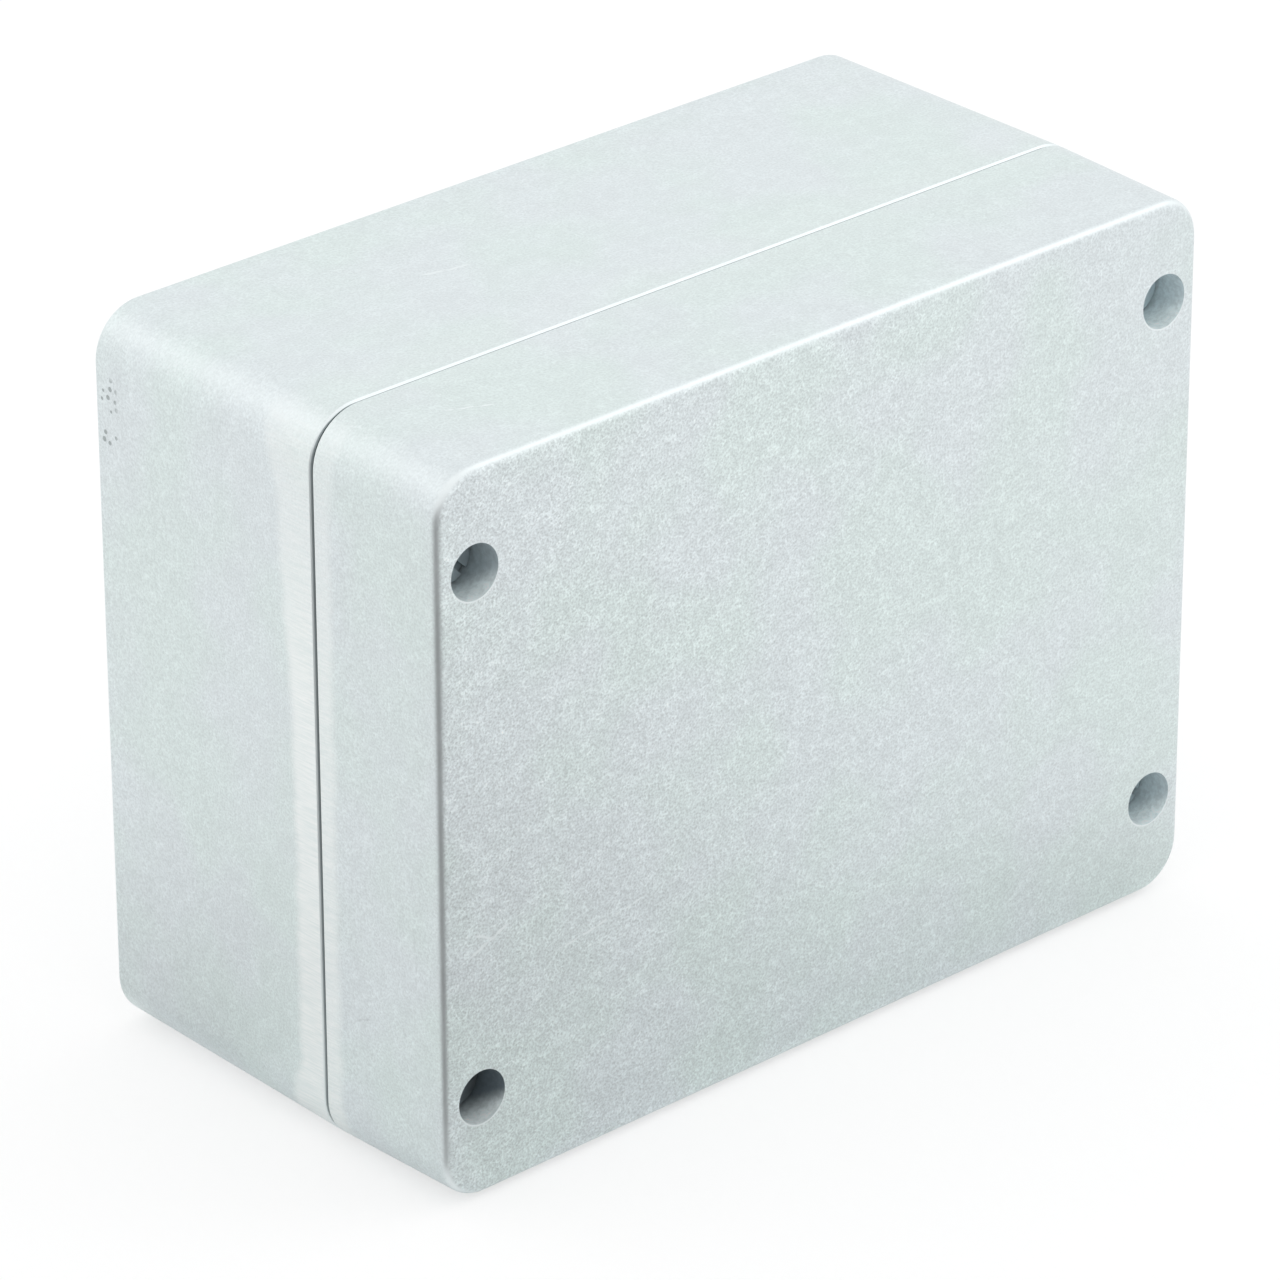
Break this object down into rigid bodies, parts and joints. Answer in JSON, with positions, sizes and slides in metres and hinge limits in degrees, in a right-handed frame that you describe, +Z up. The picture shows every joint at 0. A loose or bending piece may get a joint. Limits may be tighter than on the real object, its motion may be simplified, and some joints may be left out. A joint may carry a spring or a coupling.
{
  "type": "die cast aluminium enclosure",
  "caption": "Two-part die cast aluminium box: deep base and shallower lid with captive corner screws in deep counterbores, gasket seal and inner earth terminals.",
  "frame": {"origin": "centre of the bounding box's bottom, under the middle of the box as it stands on a long side", "axes": "+X along the width, +Y out of the base's flat back, +Z up; the lid faces -Y"},
  "size_m": [0.16, 0.08, 0.125],
  "materials": {
    "base_alloy": "as-cast, vibratory finished, linished beside the parting line",
    "lid_alloy": "as-cast, vibratory finished",
    "gasket_rubber": "moulded, matt",
    "screw_steel": "turned stainless steel",
    "terminal_steel": "zinc plated",
    "ring_nylon": "natural nylon"
  },
  "bodies": {
    "root": {"base_casting": "base_alloy", "lid_casting": "lid_alloy", "lid_gasket": "gasket_rubber", "lid_screw_1": "screw_steel", "lid_screw_2": "screw_steel", "lid_screw_3": "screw_steel", "lid_screw_4": "screw_steel", "captive_ring_1": "ring_nylon", "captive_ring_2": "ring_nylon", "captive_ring_3": "ring_nylon", "captive_ring_4": "ring_nylon", "base_earth_screw": "terminal_steel", "base_spring_washer": "terminal_steel", "base_clamp_washer": "terminal_steel", "lid_earth_screw": "terminal_steel", "lid_spring_washer": "terminal_steel", "lid_clamp_washer": "terminal_steel"}
  },
  "joints": []
}
